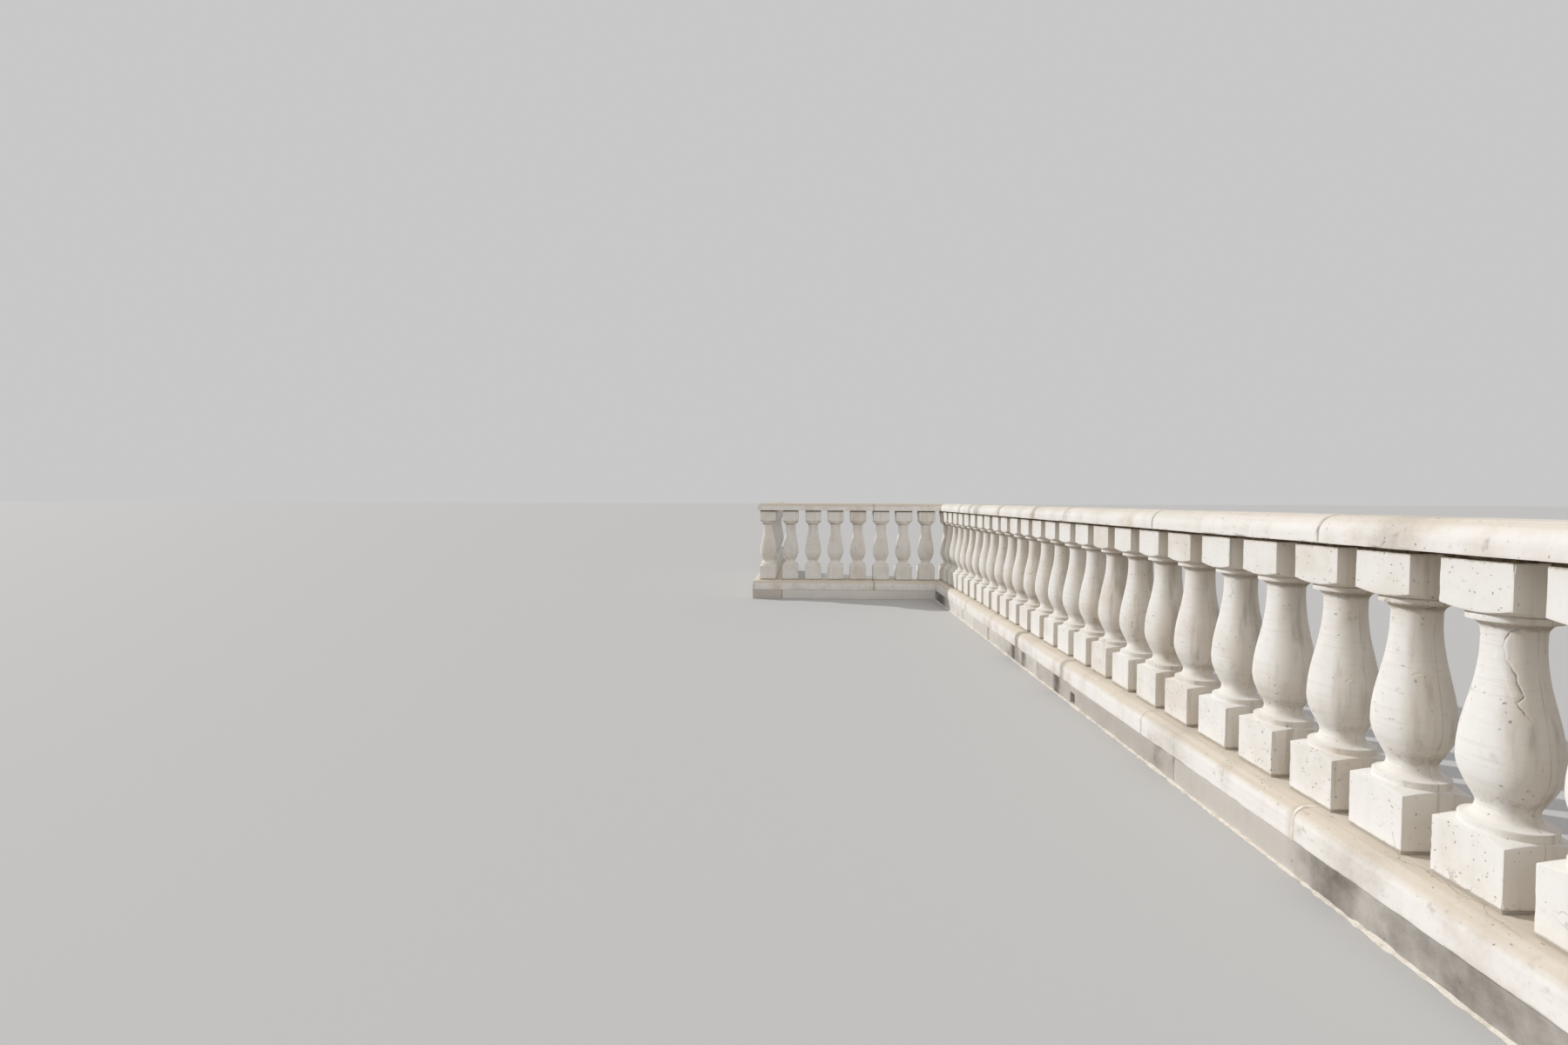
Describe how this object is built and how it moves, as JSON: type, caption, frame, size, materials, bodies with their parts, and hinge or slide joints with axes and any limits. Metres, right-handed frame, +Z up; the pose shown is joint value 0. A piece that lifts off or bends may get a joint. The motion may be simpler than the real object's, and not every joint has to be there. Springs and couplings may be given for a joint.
{
  "type": "stone balustrade",
  "caption": "Terrace balustrade of turned stone balusters on a kerb and a wide sill, under a rounded coping, turning two square corners.",
  "frame": {"origin": "on the ground at the first turn, where the centre lines of the long run and the return cross", "axes": "+Z up, the long run goes to -Y, the return to -X and the back run to +Y"},
  "size_m": [2.36, 9.89, 1.067],
  "materials": {
    "cast_stone": "matt, weathered, with small air holes",
    "kerb_stone": "matt, rougher and greyer than the rest"
  },
  "bodies": {
    "root": {"kerb_long_1": "kerb_stone", "kerb_long_2": "kerb_stone", "kerb_long_3": "kerb_stone", "kerb_long_4": "kerb_stone", "kerb_return": "kerb_stone", "kerb_back_1": "kerb_stone", "kerb_back_2": "kerb_stone", "sill_long_1": "cast_stone", "sill_long_2": "cast_stone", "sill_long_3": "cast_stone", "sill_long_4": "cast_stone", "sill_long_5": "cast_stone", "sill_long_6": "cast_stone", "sill_long_7": "cast_stone", "sill_return_1": "cast_stone", "sill_return_2": "cast_stone", "sill_back_1": "cast_stone", "sill_back_2": "cast_stone", "sill_back_3": "cast_stone", "balusters_long_1": "cast_stone", "balusters_long_2": "cast_stone", "balusters_long_3": "cast_stone", "balusters_long_4": "cast_stone", "balusters_long_5": "cast_stone", "balusters_long_6": "cast_stone", "balusters_long_7": "cast_stone", "balusters_return_1": "cast_stone", "balusters_return_2": "cast_stone", "balusters_back_1": "cast_stone", "balusters_back_2": "cast_stone", "balusters_back_3": "cast_stone", "coping_long_1": "cast_stone", "coping_long_2": "cast_stone", "coping_long_3": "cast_stone", "coping_long_4": "cast_stone", "coping_long_5": "cast_stone", "coping_long_6": "cast_stone", "coping_long_7": "cast_stone", "coping_return_1": "cast_stone", "coping_return_2": "cast_stone", "coping_back_1": "cast_stone", "coping_back_2": "cast_stone", "coping_back_3": "cast_stone"}
  },
  "joints": []
}
